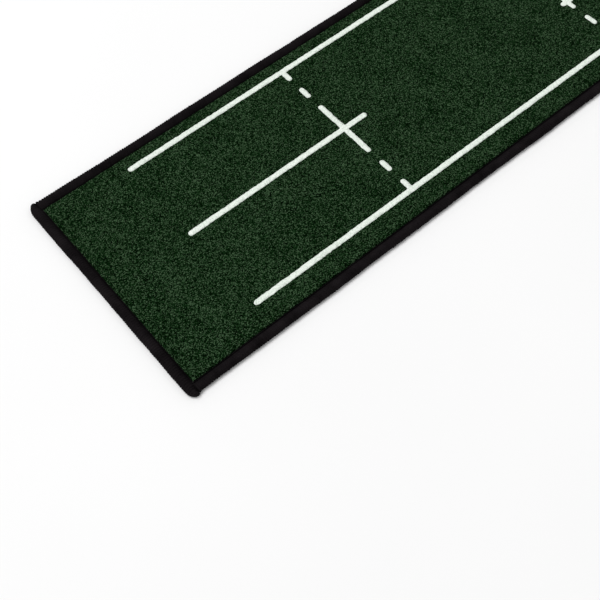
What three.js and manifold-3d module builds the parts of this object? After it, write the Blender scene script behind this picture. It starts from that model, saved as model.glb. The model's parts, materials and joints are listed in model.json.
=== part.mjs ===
// Practice putting mat: a printed cut-pile cloth on a woven backing, with rubber underneath
// and yarn-bound edges. Millimetres. X runs across the mat, Y along it from the near end to
// the far end, and Z up. The origin lies on the floor under the middle of the mat.
import * as THREE from 'three';
import { mergeVertices } from 'three/addons/utils/BufferGeometryUtils.js';
import Module from 'manifold-3d';

const wasm = await Module();
wasm.setup();

// Overall size
const matLength = 2400; // over the two end bindings
const matWidth = 300; // over the two side bindings
const gap = 0.3; // clearance between pieces that touch on the real mat

// Edge bindings
const bindingWidth = 11;
const bindingHeight = 8;
const bindingRounding = 3; // radius along the edges of a binding
const endOverhang = 2; // how far an end binding stands out past the side bindings
const tongueDepth = 5.5; // how far the backing cloth reaches into a binding
const seamGroove = 1.6; // open groove between a binding and the pile
const threadDiameter = 0.8;

// Layers, from the floor up
const rubberThickness = 1.6;
const latexThickness = 0.5;
const scrimThickness = 0.7;
const pileHeight = 2.5;

// Markings, measured from the near end of the mat and from the middle of the print
const printShift = -5; // from the middle of the mat to the middle of the print, along X
const lineWidth = 6.8;
const railOffset = 113.4;
const lineMargin = 115; // from the end of the mat to the tip of a line
const rowCount = 6;
const rowMargin = 340; // from the end of the mat to the nearest row
const centreLineRun = 34; // how far the centre line runs on past the first row
const barReach = 44.5;
const dashStart = 61.2;
const dashEnd = 79.4;
const tickTip = 96;
const gateOffset = 30.7;
const gateReach = 10;

// Values that follow from the sizes above
const latexBase = rubberThickness + gap;
const scrimBase = latexBase + latexThickness + gap;
const pileBase = scrimBase + scrimThickness + gap;
const slotBottom = latexBase - gap;
const slotTop = pileBase;
const slotDepth = tongueDepth + gap;
const seamHalfWidth = matWidth / 2 - bindingWidth;
const seamHalfLength = matLength / 2 - bindingWidth;
const rowPitch = (matLength - 2 * rowMargin) / (rowCount - 1);

const colours = {
  pile: 0x1b3320,
  mark: 0xe8f0e4,
  scrim: 0x8f8c80,
  latex: 0xcfc8b4,
  rubber: 0x1c1c1d,
  yarn: 0x17151a,
  thread: 0x0f0f12,
};

function matt(colour, roughness) {
  return new THREE.MeshStandardMaterial({ color: colour, roughness, metalness: 0 });
}

function namedMesh(name, geometry, material) {
  const mesh = new THREE.Mesh(geometry, material);
  mesh.name = name;
  return mesh;
}

// Sheets

function sheet(name, halfWidth, halfLength, base, thickness, material) {
  const mesh = namedMesh(name, new THREE.BoxGeometry(2 * halfWidth, 2 * halfLength, thickness), material);
  mesh.position.z = base + thickness / 2;
  return mesh;
}

function rubberBacking() {
  const halfWidth = seamHalfWidth - gap;
  const halfLength = seamHalfLength - gap;
  return sheet('rubber_backing', halfWidth, halfLength, 0, rubberThickness, matt(colours.rubber, 0.9));
}

// The woven cloth and its latex coat reach on into the bindings.

function backingCloth(name, base, thickness, material) {
  const halfWidth = seamHalfWidth + tongueDepth;
  const halfLength = seamHalfLength + tongueDepth;
  return sheet(name, halfWidth, halfLength, base, thickness, material);
}

// Markings. A mark is a line with round tips, and it may have shorter lines branching off it.
// It runs along +Y from its own origin until it is placed.

function addBranch(shape, stemHalf, branch, spread) {
  const { side, at, reach, width } = branch;
  const half = width / 2 + spread;
  const startAngle = side > 0 ? -Math.PI / 2 : Math.PI / 2;
  shape.lineTo(side * stemHalf, at - side * half);
  shape.absarc(side * (reach - width / 2), at, half, startAngle, startAngle + Math.PI, false);
  shape.lineTo(side * stemHalf, at + side * half);
}

// The outline of a mark, grown all round by spread. Branches are listed from the origin outward.

function markShape({ length, width, branches }, spread) {
  const half = width / 2 + spread;
  const shape = new THREE.Shape();
  shape.absarc(0, width / 2, half, Math.PI, 2 * Math.PI, false);
  for (const branch of branches.filter(({ side }) => side > 0)) {
    addBranch(shape, half, branch, spread);
  }
  shape.absarc(0, length - width / 2, half, 0, Math.PI, false);
  for (const branch of branches.filter(({ side }) => side < 0).reverse()) {
    addBranch(shape, half, branch, spread);
  }
  return shape;
}

function rowY(row) {
  return rowMargin + row * rowPitch - matLength / 2;
}

// Each rail has a short tick pointing inward at every row.

function rail(side) {
  const nearTip = lineMargin - matLength / 2;
  const branches = [];
  for (let row = 0; row < rowCount; row += 1) {
    const at = rowY(row) - nearTip;
    branches.push({ side: -side, at, reach: railOffset - tickTip, width: lineWidth });
  }
  const length = matLength - 2 * lineMargin;
  return { x: printShift + side * railOffset, y: nearTip, turned: false, length, width: lineWidth, branches };
}

// The centre line is crossed by the bar of the first row.

function centreCross() {
  const branches = [-1, 1].map((side) => (
    { side, at: rowMargin - lineMargin, reach: barReach, width: lineWidth }));
  const length = rowMargin + centreLineRun - lineMargin;
  return { x: printShift, y: lineMargin - matLength / 2, turned: false, length, width: lineWidth, branches };
}

// A line across the mat, from one distance to another off the middle of the print.

function acrossLine(row, from, to, branches) {
  return { x: printShift + from, y: rowY(row), turned: true, length: to - from, width: lineWidth, branches };
}

function gateBar(row) {
  const branches = [];
  for (const offset of [-gateOffset, gateOffset]) {
    for (const side of [-1, 1]) {
      branches.push({ side, at: barReach + offset, reach: gateReach, width: lineWidth });
    }
  }
  return acrossLine(row, -barReach, barReach, branches);
}

function allMarks() {
  const marks = { left_rail_line: rail(-1), right_rail_line: rail(1), centre_line_cross: centreCross() };
  for (let row = 0; row < rowCount; row += 1) {
    marks[`row_${row + 1}_left_dash`] = acrossLine(row, -dashEnd, -dashStart, []);
    marks[`row_${row + 1}_right_dash`] = acrossLine(row, dashStart, dashEnd, []);
    if (row > 0) {
      marks[`row_${row + 1}_gate_bar`] = gateBar(row);
    }
  }
  return marks;
}

const markSegments = 4;

function markMesh(name, mark) {
  const options = { depth: pileHeight, bevelEnabled: false, curveSegments: markSegments };
  const geometry = new THREE.ExtrudeGeometry(markShape(mark, 0), options);
  const mesh = namedMesh(name, geometry, matt(colours.mark, 0.95));
  mesh.position.set(mark.x, mark.y, pileBase);
  mesh.rotation.z = mark.turned ? -Math.PI / 2 : 0;
  return mesh;
}

// The opening that a mark leaves in the green pile

function markHole(mark) {
  const points = markShape(mark, gap).getPoints(markSegments);
  const placed = points.map(({ x, y }) => (
    mark.turned ? new THREE.Vector2(mark.x + y, mark.y - x) : new THREE.Vector2(mark.x + x, mark.y + y)));
  return new THREE.Path(placed);
}

function greenPile(marks) {
  const halfWidth = seamHalfWidth - seamGroove;
  const halfLength = seamHalfLength - seamGroove;
  const shape = new THREE.Shape();
  shape.moveTo(-halfWidth, -halfLength);
  shape.lineTo(halfWidth, -halfLength);
  shape.lineTo(halfWidth, halfLength);
  shape.lineTo(-halfWidth, halfLength);
  shape.holes = Object.values(marks).map(markHole);
  const geometry = new THREE.ExtrudeGeometry(shape, { depth: pileHeight, bevelEnabled: false });
  const mesh = namedMesh('green_pile', geometry, matt(colours.pile, 0.95));
  mesh.position.z = pileBase;
  return mesh;
}

// Side bindings. The section has X outward from the seam and Y up from the floor, and a slot
// on the seam side that takes the backing cloth.

function bindingSection() {
  const near = bindingRounding;
  const far = bindingWidth - bindingRounding;
  const low = bindingRounding;
  const high = bindingHeight - bindingRounding;
  const lipAngle = Math.PI + Math.asin((low - slotBottom) / bindingRounding);
  const shape = new THREE.Shape();
  shape.absarc(far, low, bindingRounding, -Math.PI / 2, 0, false);
  shape.absarc(far, high, bindingRounding, 0, Math.PI / 2, false);
  shape.absarc(near, high, bindingRounding, Math.PI / 2, Math.PI, false);
  shape.lineTo(0, slotTop);
  shape.lineTo(slotDepth, slotTop);
  shape.lineTo(slotDepth, slotBottom);
  shape.absarc(near, low, bindingRounding, lipAngle, 1.5 * Math.PI, false);
  return shape;
}

function sideBinding(name, side, material) {
  const length = 2 * (seamHalfLength - gap);
  const options = { depth: length, bevelEnabled: false, curveSegments: 4 };
  const geometry = new THREE.ExtrudeGeometry(bindingSection(), options);
  geometry.translate(0, 0, -length / 2);
  geometry.rotateX(Math.PI / 2);
  const mesh = namedMesh(name, geometry, material);
  mesh.position.x = side * seamHalfWidth;
  mesh.rotation.z = side > 0 ? 0 : Math.PI;
  return mesh;
}

// End bindings. The plan has round ends and the bevel rounds the edges. A slot is then cut in
// the seam side. X is outward from the seam, Y runs along the end of the mat.

function toSolid(geometry) {
  const bare = geometry.clone();
  bare.deleteAttribute('normal');
  bare.deleteAttribute('uv');
  const merged = mergeVertices(bare, 0.001);
  const vertProperties = new Float32Array(merged.attributes.position.array);
  const triVerts = new Uint32Array(merged.index.array);
  return new wasm.Manifold(new wasm.Mesh({ numProp: 3, vertProperties, triVerts }));
}

function toGeometry(solid) {
  const { vertProperties, triVerts } = solid.getMesh();
  const geometry = new THREE.BufferGeometry();
  geometry.setAttribute('position', new THREE.BufferAttribute(vertProperties, 3));
  geometry.setIndex(new THREE.BufferAttribute(triVerts, 1));
  return geometry;
}

function endBindingBody() {
  const middle = bindingWidth / 2;
  const capOffset = matWidth / 2 + endOverhang - middle;
  const radius = middle - bindingRounding;
  const plan = new THREE.Shape();
  plan.absarc(middle, -capOffset, radius, Math.PI, 2 * Math.PI, false);
  plan.absarc(middle, capOffset, radius, 0, Math.PI, false);
  const geometry = new THREE.ExtrudeGeometry(plan, {
    depth: bindingHeight - 2 * bindingRounding,
    bevelThickness: bindingRounding,
    bevelSize: bindingRounding,
    bevelSegments: 4,
    curveSegments: 5,
  });
  geometry.translate(0, 0, bindingRounding);
  return geometry;
}

function endBindingSlot() {
  const clearOutside = 1;
  const height = slotTop - slotBottom;
  const length = 2 * (seamHalfWidth + slotDepth);
  const geometry = new THREE.BoxGeometry(slotDepth + clearOutside, length, height);
  geometry.translate((slotDepth - clearOutside) / 2, 0, slotBottom + height / 2);
  return geometry;
}

function endBinding(name, side, material) {
  const solid = toSolid(endBindingBody()).subtract(toSolid(endBindingSlot()));
  const mesh = namedMesh(name, toGeometry(solid), material);
  mesh.position.y = side * seamHalfLength;
  mesh.rotation.z = side * Math.PI / 2;
  return mesh;
}

// The needle thread of the overlock seam lies in the groove between the pile and each binding.

function seamThread(name, length, material) {
  const geometry = new THREE.CylinderGeometry(threadDiameter / 2, threadDiameter / 2, length, 8);
  const mesh = namedMesh(name, geometry, material);
  mesh.position.z = pileBase + threadDiameter / 2;
  return mesh;
}

function sideThread(name, side, material) {
  const mesh = seamThread(name, 2 * (seamHalfLength - seamGroove - gap), material);
  mesh.position.x = side * (seamHalfWidth - seamGroove / 2);
  return mesh;
}

function endThread(name, side, material) {
  const mesh = seamThread(name, 2 * (seamHalfWidth - gap), material);
  mesh.rotation.z = Math.PI / 2;
  mesh.position.y = side * (seamHalfLength - seamGroove / 2);
  return mesh;
}

// Assembly

const mat = new THREE.Group();
mat.name = 'putting_mat';
const marks = allMarks();

mat.add(rubberBacking());
mat.add(backingCloth('latex_coat', latexBase, latexThickness, matt(colours.latex, 0.8)));
mat.add(backingCloth('woven_scrim', scrimBase, scrimThickness, matt(colours.scrim, 0.9)));
mat.add(greenPile(marks));
for (const [name, mark] of Object.entries(marks)) {
  mat.add(markMesh(name, mark));
}
mat.add(endBinding('near_end_binding', -1, matt(colours.yarn, 0.85)));
mat.add(endBinding('far_end_binding', 1, matt(colours.yarn, 0.85)));
mat.add(sideBinding('left_side_binding', -1, matt(colours.yarn, 0.85)));
mat.add(sideBinding('right_side_binding', 1, matt(colours.yarn, 0.85)));
mat.add(endThread('near_end_seam_thread', -1, matt(colours.thread, 0.6)));
mat.add(endThread('far_end_seam_thread', 1, matt(colours.thread, 0.6)));
mat.add(sideThread('left_side_seam_thread', -1, matt(colours.thread, 0.6)));
mat.add(sideThread('right_side_seam_thread', 1, matt(colours.thread, 0.6)));

export default mat;
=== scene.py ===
"""Looks of the practice putting mat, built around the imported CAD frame. Metres, +Z up."""

import json
import math

import bmesh
import bpy
import numpy as np
from mathutils import Matrix, Vector, kdtree
from mathutils.geometry import delaunay_2d_cdt


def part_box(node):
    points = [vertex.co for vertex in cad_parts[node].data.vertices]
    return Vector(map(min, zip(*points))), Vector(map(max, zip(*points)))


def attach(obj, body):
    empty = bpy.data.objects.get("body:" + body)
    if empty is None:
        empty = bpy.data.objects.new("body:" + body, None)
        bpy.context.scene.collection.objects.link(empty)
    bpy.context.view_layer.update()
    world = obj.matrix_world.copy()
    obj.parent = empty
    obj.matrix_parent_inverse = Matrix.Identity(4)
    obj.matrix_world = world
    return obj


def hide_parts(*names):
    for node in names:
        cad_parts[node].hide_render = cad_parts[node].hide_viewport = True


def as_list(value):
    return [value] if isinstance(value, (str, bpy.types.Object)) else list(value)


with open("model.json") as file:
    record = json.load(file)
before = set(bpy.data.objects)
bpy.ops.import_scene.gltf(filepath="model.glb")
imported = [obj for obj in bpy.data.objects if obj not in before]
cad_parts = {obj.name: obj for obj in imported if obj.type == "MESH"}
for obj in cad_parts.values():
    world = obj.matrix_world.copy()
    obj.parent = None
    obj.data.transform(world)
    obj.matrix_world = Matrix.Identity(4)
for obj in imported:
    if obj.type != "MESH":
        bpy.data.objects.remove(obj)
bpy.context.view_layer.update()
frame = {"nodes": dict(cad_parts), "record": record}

MM = 0.001
random = np.random.RandomState(7)

# Places and sizes that come from the CAD frame
PILE_LOW, PILE_HIGH = (np.array(corner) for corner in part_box("green_pile"))
SCRIM_LOW, SCRIM_HIGH = (np.array(corner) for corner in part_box("woven_scrim"))
LATEX_LOW, LATEX_HIGH = (np.array(corner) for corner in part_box("latex_coat"))
RUBBER_LOW, RUBBER_HIGH = (np.array(corner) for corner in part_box("rubber_backing"))
MARK_NODES = [
    entry["node"] for entry in frame["record"]["subparts"] if entry["material_slot"] == "white_pile"
]
NEAR_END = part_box("near_end_binding")[0][1]

# Pile
TUFTS_PER_METRE = 1050.0
FIBRES_PER_METRE = 1800.0
PATCHES_PER_METRE = 20.0
TUFT_PITCH = 3.0 * MM
TUFT_JITTER = 0.9 * MM
TUFT_RELIEF = 0.4 * MM
EDGE_STEP = 1.6 * MM
EDGE_RAGGED = 0.24 * MM
EDGE_DIP = 0.1 * MM
MARK_INSET = 0.06 * MM
RIM_INSET = 0.6 * MM
RIM_RUN = 3.0 * MM
RIM_DROP = 1.2 * MM
TUFT_TO_OUTLINE = 0.75 * EDGE_STEP

# Bindings
YARN_PITCH = 3.0 * MM
YARN_RELIEF = 0.75 * MM
STEPS_PER_YARN = 6
TURN_SLANT = 0.9 * MM
SLANT_RUN = 6 * MM
CORNER_RUN = 12.0 * MM
CORNER_DEPTH = 8.0 * MM
END_SHORTFALL = 1.0 * MM
END_FLARE = 0.9 * MM
FLARE_RUN = 2.5 * MM
END_RUN = 3 * MM
END_DROP = 0.45
JOINT_LIP = 0.25 * MM
LIP_REACH = 2.6 * MM
LIP_ROOT_THICKNESS = 0.24 * MM
LIP_TIP_THICKNESS = 0.12 * MM
SLOT_MOUTH = 0.04
SLOT_LOW = LATEX_LOW[2] - 0.2 * MM
SLOT_HIGH = SCRIM_HIGH[2] + 0.1 * MM
SLOT_CLEARANCE = 0.2 * MM
# The bead's outline from the outer foot to the groove, in shares of the binding's width and height
BEAD_PROFILE = (
    (0.80, 0.00), (0.94, 0.11), (1.00, 0.35), (0.98, 0.59), (0.90, 0.80), (0.77, 0.94),
    (0.60, 1.00), (0.43, 0.98), (0.28, 0.89), (0.15, 0.75), (0.05, 0.60), (0.00, 0.50),
)
EDGE_WAVE = 0.7 * MM
STRAIGHT_WIDTH = 6.5 * MM
WAVE_RUN = 3 * MM

# Layers under the pile
GRIP_STEP = 3.3 * MM
PAD_HEIGHT = 0.35 * MM
WEAVE_STEP = 5.0 * MM
WEAVE_RELIEF = 0.12 * MM
FILM_STEP = 8.0 * MM
FILM_RELIEF = 0.04 * MM


# Mesh helpers

def add_piece(name, verts, faces, material, smooth=True):
    """A new mesh object in the scene, made of one material."""
    mesh = bpy.data.meshes.new(name)
    mesh.from_pydata(np.asarray(verts, float).tolist(), [], faces)
    mesh.materials.append(material)
    mesh.polygons.foreach_set("use_smooth", [smooth] * len(mesh.polygons))
    mesh.update()
    piece = bpy.data.objects.new(name, mesh)
    bpy.context.scene.collection.objects.link(piece)
    return piece


def waves(x, seed, amplitude, longest, count=6):
    """A smooth random curve: a sum of sines with wavelengths from longest downward."""
    source = np.random.RandomState(seed)
    total = np.zeros_like(np.asarray(x, float))
    for k in range(count):
        wavelength = longest / (1.0 + 0.9 * k + source.uniform(0, 0.5))
        total = total + np.sin(2 * math.pi * (x / wavelength + source.uniform())) / (1.0 + 0.7 * k)
    return amplitude * total / 2.2


def ring_faces(rows, columns, closed_ring=True):
    """Quads between consecutive rings of points."""
    faces = []
    last = columns if closed_ring else columns - 1
    for row in range(rows - 1):
        base = row * columns
        for column in range(last):
            after = (column + 1) % columns
            faces.append((base + column, base + after, base + columns + after, base + columns + column))
    return faces


def tube_faces(rings, columns):
    """The faces of a tube of closed rings of points, with both ends closed."""
    faces = ring_faces(rings, columns)
    faces.append(tuple(range(columns))[::-1])
    faces.append(tuple((rings - 1) * columns + column for column in range(columns)))
    return faces


def outward(piece):
    """Turns the faces out, judged by the sign of the closed mesh's volume."""
    mesh = piece.data
    shape = bmesh.new()
    shape.from_mesh(mesh)
    if shape.calc_volume(signed=True) < 0:
        bmesh.ops.reverse_faces(shape, faces=shape.faces)
    shape.to_mesh(mesh)
    shape.free()


# Materials

def new_material(name):
    material = bpy.data.materials.new(name)
    material.use_nodes = True
    nodes = material.node_tree.nodes
    nodes.clear()
    output = nodes.new("ShaderNodeOutputMaterial")
    shader = nodes.new("ShaderNodeBsdfPrincipled")
    material.node_tree.links.new(shader.outputs["BSDF"], output.inputs["Surface"])
    return material, nodes, material.node_tree.links, shader


def noise(nodes, links, vector, scale, detail=2.0, roughness=0.6):
    node = nodes.new("ShaderNodeTexNoise")
    node.inputs["Scale"].default_value = scale
    node.inputs["Detail"].default_value = detail
    node.inputs["Roughness"].default_value = roughness
    links.new(vector, node.inputs["Vector"])
    return node.outputs["Fac"]


def cells(nodes, links, vector, scale):
    """A random shade for each cell of about 1 / scale metres, and the distance from its middle."""
    node = nodes.new("ShaderNodeTexVoronoi")
    node.inputs["Scale"].default_value = scale
    links.new(vector, node.inputs["Vector"])
    grey = nodes.new("ShaderNodeRGBToBW")
    links.new(node.outputs["Color"], grey.inputs["Color"])
    return grey.outputs["Val"], node.outputs["Distance"]


def ramp(nodes, links, value, stops):
    """Colours along value; stops are (position, (r, g, b))."""
    node = nodes.new("ShaderNodeValToRGB")
    elements = node.color_ramp.elements
    while len(elements) > 1:
        elements.remove(elements[-1])
    elements[0].position = stops[0][0]
    elements[0].color = (*stops[0][1], 1.0)
    for position, colour in stops[1:]:
        elements.new(position).color = (*colour, 1.0)
    links.new(value, node.inputs["Fac"])
    return node.outputs["Color"]


def blend_values(nodes, links, first, second, share):
    node = nodes.new("ShaderNodeMix")
    node.data_type = "FLOAT"
    node.inputs["Factor"].default_value = share
    links.new(first, node.inputs["A"])
    links.new(second, node.inputs["B"])
    return node.outputs["Result"]


def subtract(nodes, links, first, second):
    node = nodes.new("ShaderNodeMath")
    node.operation = "SUBTRACT"
    links.new(first, node.inputs[0])
    links.new(second, node.inputs[1])
    return node.outputs["Value"]


def bump(nodes, links, height, distance, strength=1.0):
    node = nodes.new("ShaderNodeBump")
    node.inputs["Distance"].default_value = distance
    node.inputs["Strength"].default_value = strength
    links.new(height, node.inputs["Height"])
    return node.outputs["Normal"]


def object_coords(nodes):
    return nodes.new("ShaderNodeTexCoord").outputs["Object"]


def pile_material(name, shades, relief):
    """Dense cut pile: each tuft has its own shade, over finer fibres and soft broad patches."""
    material, nodes, links, shader = new_material(name)
    where = object_coords(nodes)
    tufts, from_middle = cells(nodes, links, where, TUFTS_PER_METRE)
    fibres = noise(nodes, links, where, FIBRES_PER_METRE, 2.0, 0.7)
    patches = noise(nodes, links, where, PATCHES_PER_METRE, 3.0, 0.6)
    grain = blend_values(nodes, links, tufts, fibres, 0.32)
    grain = blend_values(nodes, links, grain, patches, 0.12)
    links.new(ramp(nodes, links, grain, shades), shader.inputs["Base Color"])
    height = subtract(nodes, links, grain, from_middle)
    links.new(bump(nodes, links, height, relief, 0.8), shader.inputs["Normal"])
    shader.inputs["Roughness"].default_value = 1.0
    shader.inputs["Specular IOR Level"].default_value = 0.02
    return material


def yarn_material(name, dark, light, scale=1500.0):
    """Black yarn: fine fibres over soft patches, with hardly any gloss."""
    material, nodes, links, shader = new_material(name)
    where = object_coords(nodes)
    fibres = noise(nodes, links, where, scale, 3.0, 0.7)
    patches = noise(nodes, links, where, 60.0, 2.0, 0.5)
    grain = blend_values(nodes, links, fibres, patches, 0.3)
    links.new(ramp(nodes, links, grain, ((0.35, dark), (0.7, light))), shader.inputs["Base Color"])
    links.new(bump(nodes, links, fibres, 0.25 * MM, 0.6), shader.inputs["Normal"])
    shader.inputs["Roughness"].default_value = 0.7
    shader.inputs["Specular IOR Level"].default_value = 0.02
    return material


def plain_material(name, dark, light, scale, roughness, relief):
    """A matt solid with a slight mottle."""
    material, nodes, links, shader = new_material(name)
    where = object_coords(nodes)
    mottle = noise(nodes, links, where, scale, 4.0, 0.6)
    links.new(ramp(nodes, links, mottle, ((0.3, dark), (0.7, light))), shader.inputs["Base Color"])
    links.new(bump(nodes, links, mottle, relief, 0.5), shader.inputs["Normal"])
    shader.inputs["Roughness"].default_value = roughness
    return material


def weave_material(name, warp, weft):
    """Plain weave of flat tapes, along and across the mat."""
    material, nodes, links, shader = new_material(name)
    where = object_coords(nodes)
    checks = nodes.new("ShaderNodeTexChecker")
    checks.inputs["Scale"].default_value = 650.0
    checks.inputs["Color1"].default_value = (*warp, 1.0)
    checks.inputs["Color2"].default_value = (*weft, 1.0)
    links.new(where, checks.inputs["Vector"])
    links.new(checks.outputs["Color"], shader.inputs["Base Color"])
    links.new(bump(nodes, links, checks.outputs["Fac"], 0.1 * MM, 0.5), shader.inputs["Normal"])
    shader.inputs["Roughness"].default_value = 0.7
    return material


# Outlines of the marks

def mark_loop(node):
    """The outline of a mark in plan, from the upright walls of its CAD node, as ordered points."""
    mesh = frame["nodes"][node].data
    points = np.empty(3 * len(mesh.vertices))
    mesh.vertices.foreach_get("co", points)
    points = points.reshape(-1, 3)
    top = points[:, 2].max() - 0.1 * MM
    follows = {}
    for polygon in mesh.polygons:
        if abs(polygon.normal.z) > 0.5:
            continue
        corners = list(polygon.vertices)
        for here, there in zip(corners, corners[1:] + corners[:1]):
            if points[here][2] > top and points[there][2] > top:
                start = tuple(np.round(points[here][:2], 6))
                end = tuple(np.round(points[there][:2], 6))
                if start != end:
                    follows[start] = end
    start = next(iter(follows))
    loop = [start]
    while follows[loop[-1]] != start:
        loop.append(follows[loop[-1]])
    return np.array(loop)


def resampled(loop, step):
    """The closed outline with a point about every step along it."""
    closed = np.vstack([loop, loop[:1]])
    lengths = np.linalg.norm(np.diff(closed, axis=0), axis=1)
    along = np.concatenate([[0], np.cumsum(lengths)])
    count = max(12, int(round(along[-1] / step)))
    where = np.linspace(0, along[-1], count, endpoint=False)
    return np.stack([np.interp(where, along, closed[:, axis]) for axis in (0, 1)], 1)


def signed_area(loop):
    """The area inside a closed outline, positive where it runs counterclockwise."""
    following = np.roll(loop, -1, axis=0)
    return 0.5 * np.sum(loop[:, 0] * following[:, 1] - following[:, 0] * loop[:, 1])


def counterclockwise(loop):
    return loop if signed_area(loop) > 0 else loop[::-1]


def loop_normals(loop):
    """Unit vectors out of a closed outline, at each of its points."""
    tangent = np.roll(loop, -1, axis=0) - np.roll(loop, 1, axis=0)
    tangent /= np.linalg.norm(tangent, axis=1)[:, None]
    normal = np.stack([tangent[:, 1], -tangent[:, 0]], 1)
    return normal if signed_area(loop) > 0 else -normal


def loop_starts(loops):
    """Where each loop starts in the list of all loops' points, and where the last one ends."""
    return np.concatenate([[0], np.cumsum([len(loop) for loop in loops])])


def ragged(loop, amplitude):
    """The outline with its points pushed in and out, as tufts do along a colour change."""
    push = random.normal(0, 1, len(loop))
    push = 0.6 * push + 0.4 * np.roll(push, 1)
    return loop + loop_normals(loop) * (amplitude * np.clip(push, -1.6, 1.6))[:, None]


# Pile: one triangulation in plan, shared by the green pile and the white marks

def pile_plan(loops):
    """The pile triangulated in plan, with a jittered point for each tuft. Loop 0 is the rim."""
    outline_points = np.vstack(loops)
    tree = kdtree.KDTree(len(outline_points))
    for index, (x, y) in enumerate(outline_points.tolist()):
        tree.insert((x, y, 0.0), index)
    tree.balance()
    xs = np.arange(PILE_LOW[0], PILE_HIGH[0], TUFT_PITCH)
    ys = np.arange(PILE_LOW[1], PILE_HIGH[1], TUFT_PITCH * math.sqrt(0.75))
    grid_x, grid_y = np.meshgrid(xs, ys)
    grid_x = grid_x + (np.arange(len(ys)) % 2)[:, None] * TUFT_PITCH / 2
    lattice = np.stack([grid_x.ravel(), grid_y.ravel()], 1)
    lattice += random.uniform(-TUFT_JITTER, TUFT_JITTER, lattice.shape)
    clear = RIM_INSET + TUFT_TO_OUTLINE
    kept = [
        point for point in lattice.tolist()
        if PILE_LOW[0] + clear < point[0] < PILE_HIGH[0] - clear
        and PILE_LOW[1] + clear < point[1] < PILE_HIGH[1] - clear
        and tree.find((point[0], point[1], 0.0))[2] > TUFT_TO_OUTLINE
    ]
    return triangulated(loops, kept)


def triangulated(loops, extra):
    """Triangulates the loops' points and extra ones, keeping every stretch of the loops.

    It works in millimetres, so that its tolerance suits the sizes. It returns the plan points,
    the triangles, the loop that each triangle lies in, and the plan point of each given point.
    """
    points = np.vstack(loops + ([np.array(extra)] if len(extra) else [])) / MM
    starts = loop_starts(loops)
    faces = [list(range(start, end)) for start, end in zip(starts[:-1], starts[1:])]
    result = delaunay_2d_cdt([Vector(point) for point in points.tolist()], [], faces, 1, 1e-5)
    plan = np.array([tuple(point) for point in result[0]]) * MM
    plan_point = np.full(len(points), -1)
    for index, sources in enumerate(result[3]):
        for source in sources:
            plan_point[source] = index
    region = np.array([max(sources) if sources else -1 for sources in result[5]])
    triangles = np.array([tuple(face) for face in result[2]])
    return plan, triangles, region, plan_point


def solid_region(name, number, loops, top, bottom, top_z, material, inset=0.0):
    """A closed solid of one region: its top triangles, walls along its loops, and a flat base.

    The region keeps its own loop on the outside, and where it is the rim's region every other
    loop is a hole in it.
    """
    plan, triangles, region, plan_point = top
    low_plan, low_triangles, low_region, low_plan_point = bottom
    upper = triangles[region == number]
    lower = low_triangles[low_region == number]
    used_up, upper_local = np.unique(upper, return_inverse=True)
    used_low, lower_local = np.unique(lower, return_inverse=True)
    positions = plan[used_up].copy()
    base = low_plan[used_low].copy()
    starts = loop_starts(loops)
    bounding = [number] if number > 0 else list(range(len(loops)))
    up_index = {vertex: index for index, vertex in enumerate(used_up.tolist())}
    low_index = {vertex: index for index, vertex in enumerate(used_low.tolist())}
    faces = [tuple(face) for face in upper_local.reshape(-1, 3).tolist()]
    shift = len(used_up)
    for face in lower_local.reshape(-1, 3).tolist():
        faces.append((face[2] + shift, face[1] + shift, face[0] + shift))
    for loop_number in bounding:
        sources = np.arange(starts[loop_number], starts[loop_number + 1])
        ups = [up_index[vertex] for vertex in plan_point[sources].tolist()]
        lows = [low_index[vertex] for vertex in low_plan_point[sources].tolist()]
        own_loop = loop_number == number
        if inset:
            push = loop_normals(loops[loop_number]) * inset
            positions[ups] -= push
            base[lows] -= push
        for here in range(len(ups)):
            there = (here + 1) % len(ups)
            wall = (lows[here] + shift, lows[there] + shift, ups[there], ups[here])
            faces.append(wall if own_loop else wall[::-1])
    verts = np.vstack([
        np.column_stack([positions, top_z[used_up]]),
        np.column_stack([base, np.full(len(base), PILE_LOW[2])]),
    ])
    return add_piece(name, verts, faces, material)


def rim_loop():
    low = PILE_LOW + RIM_INSET
    high = PILE_HIGH - RIM_INSET
    corners = np.array([(low[0], low[1]), (high[0], low[1]), (high[0], high[1]), (low[0], high[1])])
    return resampled(corners, 1.5 * EDGE_STEP)


def pile_heights(plan, mark_points):
    """The pile's top at each plan point: uneven tufts, lower round the rim and along the marks."""
    relief = np.clip(random.normal(0, 0.6, len(plan)), -1.3, 1.3) * TUFT_RELIEF
    top_z = PILE_HIGH[2] - TUFT_RELIEF + relief
    rim_gap = np.minimum.reduce([
        plan[:, 0] - PILE_LOW[0], PILE_HIGH[0] - plan[:, 0],
        plan[:, 1] - PILE_LOW[1], PILE_HIGH[1] - plan[:, 1],
    ])
    rounding = np.clip(1 - (rim_gap - RIM_INSET) / RIM_RUN, 0, 1)
    top_z -= RIM_DROP * rounding ** 2
    dip = EDGE_DIP + TUFT_RELIEF * random.uniform(0, 0.6, len(mark_points))
    top_z[mark_points] = PILE_HIGH[2] - dip
    return top_z


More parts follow.
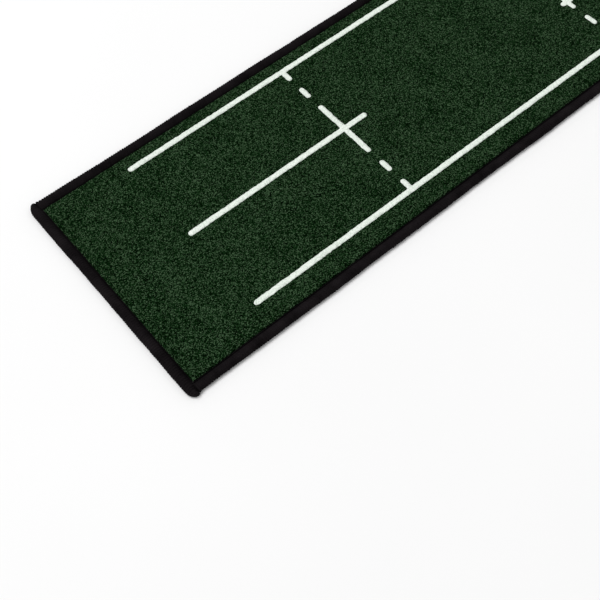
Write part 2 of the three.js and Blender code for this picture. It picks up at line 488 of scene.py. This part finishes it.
def build_pile(green, white):
    """The green pile and the marks, with the area of the green."""
    loops = [ragged(rim_loop(), 0.5 * EDGE_RAGGED)]
    for node in MARK_NODES:
        loops.append(ragged(counterclockwise(resampled(mark_loop(node), EDGE_STEP)), EDGE_RAGGED))
    top = pile_plan(loops)
    bottom = triangulated(loops, [])
    plan, plan_point = top[0], top[3]
    starts = loop_starts(loops)
    top_z = pile_heights(plan, plan_point[starts[1]:starts[-1]])
    pieces = [solid_region("green_turf", 0, loops, top, bottom, top_z, green)]
    area = abs(PILE_HIGH[0] - PILE_LOW[0]) * abs(PILE_HIGH[1] - PILE_LOW[1])
    for number, node in enumerate(MARK_NODES, start=1):
        pieces.append(
            solid_region("white_" + node, number, loops, top, bottom, top_z, white, MARK_INSET))
        area -= abs(signed_area(loops[number]))
    return pieces, area


# Bindings

def binding_section(width, height, slot_depth):
    """Closed outline of a binding: (outward, up, ridge share, is lip, is slot) for each point.

    The bead stands over a slot that takes the cloth's edge, and a thin lip of yarn runs over the
    cloth in the groove, to just under the rim of the pile.
    """
    points = [
        (u * width, z * height, 1.0 if 0.1 < z and u > 0.1 else 0.3, False, False)
        for u, z in BEAD_PROFILE
    ]
    points.append((-0.1 * MM, SLOT_HIGH + LIP_ROOT_THICKNESS, 0.0, True, False))
    points.append((-LIP_REACH, SLOT_HIGH + LIP_TIP_THICKNESS, 0.0, True, False))
    points.append((-LIP_REACH, SLOT_HIGH, 0.0, True, False))
    points.append((slot_depth, SLOT_HIGH, 0.0, False, True))
    points.append((slot_depth, SLOT_LOW, 0.0, False, True))
    points.append((SLOT_MOUTH * width, SLOT_LOW, 0.0, False, False))
    points.append((0.13 * width, 0.0, 0.2, False, False))
    return points


def yarn_turns(length, seed):
    """Places along a binding, the ridge at each, and how plump, leaning and lifted its turn is."""
    source = np.random.RandomState(seed)
    turns = int(round(length / YARN_PITCH))
    rings = turns * STEPS_PER_YARN + 1
    along = np.linspace(-length / 2, length / 2, rings)
    phase = np.arange(rings) / STEPS_PER_YARN
    turn = np.minimum(np.floor(phase).astype(int), turns - 1)
    ridge = np.abs(np.sin(math.pi * phase)) ** 0.7
    plump = source.uniform(0.75, 1.15, turns)[turn]
    lean = source.normal(0, 0.10 * MM, turns)[turn] * ridge
    lift = source.normal(0, 0.07 * MM, turns)[turn] * ridge
    return along, ridge, plump, lean, lift


def corner_rounding(to_end, width):
    """The shares of its width and height that a binding keeps on the way to a free end."""
    beyond = np.clip(1 - to_end / CORNER_RUN, 0, 1)
    reach_u = 1 - CORNER_DEPTH / width * (1 - np.sqrt(1 - beyond ** 2))
    beyond = np.clip(1 - to_end / END_RUN, 0, 1)
    reach_z = 1 - END_DROP * (1 - np.sqrt(1 - beyond ** 2))
    return reach_u, reach_z


def yarn_binding(name, length, place, section, material, seed, slot_run=None, lip_run=None):
    """Yarn wrapped round an edge, one ridge for each turn. place(s, u, z) gives the position.

    slot_run and lip_run are how far the slot and the lip run from the middle. A binding that is
    given them has free ends, with rounded outer corners.
    """
    along, ridge, plump, lean, lift = yarn_turns(length, seed)
    rings = len(along)
    to_end = length / 2 - np.abs(along)
    slant = TURN_SLANT * np.clip(to_end / SLANT_RUN, 0, 1)
    width = max(point[0] for point in section)
    reach_u = np.ones(rings)
    reach_z = np.ones(rings)
    has_slot = np.ones(rings, bool)
    has_lip = np.ones(rings, bool)
    if slot_run is not None:
        has_slot = np.abs(along) < slot_run
        has_lip = np.abs(along) < lip_run
        reach_u, reach_z = corner_rounding(to_end, width)
    verts = np.empty((rings, len(section), 3))
    for column, (u, z, ridge_share, is_lip, is_slot) in enumerate(section):
        out_u, out_z = u - width / 2, z - 0.42 * width / 2
        size = math.hypot(out_u, out_z)
        depth = YARN_RELIEF * ridge_share * (1 - ridge * plump)
        column_u = u - depth * out_u / size
        column_z = np.maximum(z - depth * out_z / size, 0.0)
        column_u = column_u + lean * ridge_share
        column_z = np.where(z > 1 * MM, column_z + lift * ridge_share, column_z)
        if is_lip:
            column_u = np.where(has_lip, column_u, np.maximum(column_u, -JOINT_LIP))
        if is_slot:
            column_u = np.where(has_slot, column_u, SLOT_MOUTH * width)
        if not is_slot:
            column_u = np.where(column_u > 0, column_u * reach_u, column_u)
        column_z = column_z * reach_z
        tilt = 0.0 if is_lip or is_slot else slant * (2 * u / width - 1)
        verts[:, column] = place(along + tilt, column_u, column_z)
    columns = len(section)
    piece = add_piece(name, verts.reshape(-1, 3), tube_faces(rings, columns), material)
    outward(piece)
    return piece


def outer_share(u):
    """How far a binding's waviness moves a point: none at the slot, all at the outer edge."""
    return np.clip((u - STRAIGHT_WIDTH) / WAVE_RUN, 0, 1)


def edge_binding(node, across, side, sway, flare, material, seed, shortfall=0.0, **runs):
    """The binding of one edge. across is the axis out over the edge, and side its direction.

    sway gives the waviness of the outer edge, and flare is how far it spreads at both ends.
    """
    along = 1 - across
    low, high = (np.array(corner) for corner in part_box(node))
    seam = low[across] if side > 0 else high[across]
    middle = (low[along] + high[along]) / 2
    cloth_edge = SCRIM_HIGH[across] if side > 0 else SCRIM_LOW[across]
    slot_depth = abs(cloth_edge - seam) + SLOT_CLEARANCE
    section = binding_section(high[across] - low[across], high[2], slot_depth)

    def place(s, u, z):
        position = middle + s
        to_end = middle + abs(high[along]) - np.abs(position)
        spread = sway(position) + flare * np.exp(-(to_end / FLARE_RUN) ** 2)
        result = np.empty((len(z), 3))
        result[:, along] = position
        result[:, across] = seam + side * (u + spread * outer_share(u))
        result[:, 2] = z
        return result

    length = high[along] - low[along] - 2 * shortfall
    return yarn_binding(node + "_yarn", length, place, section, material, seed, **runs)


def build_bindings(yarn):
    """The four bindings. Those of the ends run past the side ones and have free, rounded ends."""
    pieces = {}
    for node, side in (("left_side_binding", -1), ("right_side_binding", 1)):
        def sway(y, seed=30 + side):
            return waves(y, seed, EDGE_WAVE, 0.42)

        pieces[node] = edge_binding(node, 0, side, sway, END_FLARE, yarn, 50 + side)
    for node, side in (("near_end_binding", -1), ("far_end_binding", 1)):
        def sway(x, seed=40 + side):
            return waves(x, seed, 0.5 * EDGE_WAVE, 0.25)

        pieces[node] = edge_binding(
            node, 1, side, sway, 0.0, yarn, 60 + side, END_SHORTFALL,
            slot_run=SCRIM_HIGH[0] + 0.8 * MM, lip_run=PILE_HIGH[0] - 1.6 * MM)
    return pieces


def stitch_chain(name, node, material):
    """A row of stitches: a thread that swells along each stitch and dips at each needle hole."""
    low, high = (np.array(corner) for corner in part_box(node))
    size = high - low
    axis = 0 if size[0] > size[1] else 1
    radius = size[2] / 2
    stitches = int(size[axis] / YARN_PITCH)
    steps = 4
    sides = 6
    rings = stitches * steps + 1
    along = np.linspace(low[axis], high[axis], rings)
    swell = np.abs(np.sin(math.pi * np.arange(rings) / steps))
    thick = radius * (0.55 + 0.4 * swell)
    centre = (low + high) / 2
    height = centre[2] + radius * 0.55 * swell
    verts = np.empty((rings, sides, 3))
    for column in range(sides):
        angle = 2 * math.pi * column / sides
        verts[:, column, axis] = along
        verts[:, column, 1 - axis] = centre[1 - axis] + thick * math.cos(angle)
        verts[:, column, 2] = height + thick * math.sin(angle)
    piece = add_piece(name, verts.reshape(-1, 3), tube_faces(rings, sides), material)
    outward(piece)
    return piece


# Flat layers under the pile

def relief_slab(name, low, high, step, relief, face_up, material):
    """A thin closed slab. One side is a grid whose height follows relief(column, row)."""
    columns = int(round((high[0] - low[0]) / step)) + 1
    rows = int(round((high[1] - low[1]) / step)) + 1
    xs = np.linspace(low[0], high[0], columns)
    ys = np.linspace(low[1], high[1], rows)
    grid_x, grid_y = np.meshgrid(xs, ys)
    column_index, row_index = np.meshgrid(np.arange(columns), np.arange(rows))
    rim = (column_index == 0) | (row_index == 0)
    rim |= (column_index == columns - 1) | (row_index == rows - 1)
    depth = np.where(rim, 0.0, relief(column_index, row_index))
    heights = high[2] - depth if face_up else low[2] + depth
    verts = np.stack([grid_x, grid_y, heights], -1).reshape(-1, 3)
    faces = ring_faces(rows, columns, closed_ring=False)
    border = list(range(columns))
    border += [row * columns + columns - 1 for row in range(1, rows)]
    border += [(rows - 1) * columns + column for column in range(columns - 2, -1, -1)]
    border += [row * columns for row in range(rows - 2, 0, -1)]
    flat = verts[border].copy()
    flat[:, 2] = low[2] if face_up else high[2]
    start = len(verts)
    for here in range(len(border)):
        there = (here + 1) % len(border)
        faces.append((border[there], border[here], start + here, start + there))
    faces.append(tuple(range(start, start + len(border)))[::-1])
    piece = add_piece(name, np.vstack([verts, flat]), faces, material, smooth=False)
    outward(piece)
    return piece


def grip_pads(column, row):
    """Raised pads in a brick pattern under the rubber, with grooves between them."""
    offset = (row // 2 % 2) * 2
    pad = ((column + offset) % 4 < 2) & (row % 2 == 0)
    return np.where(pad, 0.0, PAD_HEIGHT)


def weave(column, row):
    """Tapes that go over and under each other."""
    return np.where((column + row) % 2 == 0, 0.0, WEAVE_RELIEF)


def uneven_film(column, row):
    """The slight unevenness of a spread coat."""
    return FILM_RELIEF * ((column * 7 + row * 13) % 5) / 4


# Scene

def build_camera():
    """The camera stands right of the near end and looks down along the mat."""
    stand = Vector((0.5608, NEAR_END - 0.1890, 0.9724))
    azimuth, elevation, roll = (math.radians(angle) for angle in (50.98, 58.02, -1.37))
    forward = Vector((
        -math.sin(azimuth) * math.cos(elevation),
        math.cos(azimuth) * math.cos(elevation),
        -math.sin(elevation),
    ))
    level = Vector((math.cos(azimuth), math.sin(azimuth), 0.0))
    upright = level.cross(forward)
    right = math.cos(roll) * level + math.sin(roll) * upright
    up = math.cos(roll) * upright - math.sin(roll) * level
    camera = bpy.data.objects.new("camera", bpy.data.cameras.new("camera"))
    camera.matrix_world = Matrix((right, up, -forward)).transposed().to_4x4()
    camera.location = stand
    camera.data.lens = 63.84
    camera.data.sensor_width = 36.0
    camera.data.shift_y = -0.0772
    camera.data.clip_end = 50.0
    bpy.context.scene.collection.objects.link(camera)
    bpy.context.scene.camera = camera


def build_stage():
    material, nodes, links, shader = new_material("pale_floor")
    mottle = noise(nodes, links, object_coords(nodes), 3.0, 2.0, 0.5)
    links.new(
        ramp(nodes, links, mottle, ((0.2, (0.91, 0.91, 0.91)), (0.8, (0.93, 0.93, 0.93)))),
        shader.inputs["Base Color"])
    shader.inputs["Roughness"].default_value = 0.9
    shader.inputs["Specular IOR Level"].default_value = 0.1
    half = 8.0
    corners = [(-half, -half, 0.0), (half, -half, 0.0), (half, half, 0.0), (-half, half, 0.0)]
    floor = add_piece("floor", corners, [(0, 1, 2, 3)], material, smooth=False)
    floor.location.z = -0.2 * MM


def build_light():
    scene = bpy.context.scene
    world = bpy.data.worlds.new("studio")
    world.use_nodes = True
    background = world.node_tree.nodes["Background"]
    background.inputs["Color"].default_value = (1.0, 1.0, 1.0, 1.0)
    background.inputs["Strength"].default_value = 0.54
    scene.world = world
    lamp = bpy.data.lights.new("ceiling", "SUN")
    lamp.energy = 1.45
    lamp.angle = math.radians(30)
    sun = bpy.data.objects.new("ceiling", lamp)
    sun.rotation_euler = Vector((-0.40, -0.25, 1.0)).to_track_quat("Z", "Y").to_euler()
    scene.collection.objects.link(sun)
    panel = bpy.data.lights.new("softbox", "AREA")
    panel.energy = 6.0
    panel.size = 1.0
    softbox = bpy.data.objects.new("softbox", panel)
    softbox.location = (-0.85, NEAR_END - 0.35, 1.8)
    aim = Vector((0.0, NEAR_END + 0.35, 0.0)) - softbox.location
    softbox.rotation_euler = aim.to_track_quat("-Z", "Y").to_euler()
    scene.collection.objects.link(softbox)
    scene.view_settings.view_transform = "Standard"
    scene.view_settings.look = "None"


def green_fibre():
    return pile_material("green_pile_fibre", (
        (0.32, (0.0002, 0.0020, 0.0002)),
        (0.46, (0.0010, 0.0100, 0.0012)),
        (0.57, (0.0070, 0.0285, 0.0075)),
        (0.70, (0.0600, 0.1100, 0.0555)),
    ), 0.9 * MM)


def white_fibre():
    return pile_material("white_pile_fibre", (
        (0.28, (0.62, 0.72, 0.62)),
        (0.50, (0.82, 0.89, 0.81)),
        (0.70, (0.91, 0.95, 0.90)),
    ), 0.4 * MM)


def build_stitches():
    """The four rows of stitches, by the CAD node that each replaces."""
    thread = yarn_material("black_thread", (0.0008, 0.0008, 0.0008), (0.004, 0.004, 0.004), 2500.0)
    return {
        edge + "_seam_thread": stitch_chain(edge + "_stitches", edge + "_seam_thread", thread)
        for edge in ("near_end", "far_end", "left_side", "right_side")
    }


def build_layers():
    """The rubber, the scrim and the latex film."""
    rubber = plain_material(
        "black_rubber", (0.012, 0.012, 0.012), (0.026, 0.026, 0.027), 300.0, 0.85, 0.1 * MM)
    latex = plain_material(
        "latex_film", (0.52, 0.47, 0.36), (0.66, 0.61, 0.49), 120.0, 0.7, 0.1 * MM)
    cloth = weave_material("scrim_weave", (0.012, 0.012, 0.012), (0.022, 0.022, 0.022))
    backing = relief_slab(
        "grip_rubber", RUBBER_LOW, RUBBER_HIGH, GRIP_STEP, grip_pads, False, rubber)
    scrim = relief_slab("scrim_cloth", SCRIM_LOW, SCRIM_HIGH, WEAVE_STEP, weave, True, cloth)
    film = relief_slab("latex_film", LATEX_LOW, LATEX_HIGH, FILM_STEP, uneven_film, False, latex)
    return backing, scrim, film


def build_all():
    build_camera()
    build_stage()
    build_light()
    green = green_fibre()
    white = white_fibre()
    yarn = yarn_material("black_yarn", (0.0012, 0.0009, 0.0011), (0.0170, 0.0140, 0.0155))

    pile_pieces, green_area = build_pile(green, white)
    turf = pile_pieces[0]
    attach(turf, "root")
    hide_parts("green_pile")
    for piece, node in zip(pile_pieces[1:], MARK_NODES):
        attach(piece, "root")
        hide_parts(node)

    bindings = build_bindings(yarn)
    for node, piece in bindings.items():
        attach(piece, "root")
        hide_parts(node)

    stitches = build_stitches()
    for node, piece in stitches.items():
        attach(piece, "root")
        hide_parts(node)

    backing, scrim, film = build_layers()
    for piece, node, slot in (
        (backing, "rubber_backing", "rubber_backing"),
        (scrim, "woven_scrim", "scrim_cloth"),
        (film, "latex_coat", "latex"),
    ):
        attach(piece, "root")
        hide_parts(node)

    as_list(pile_pieces[1:])


build_all()
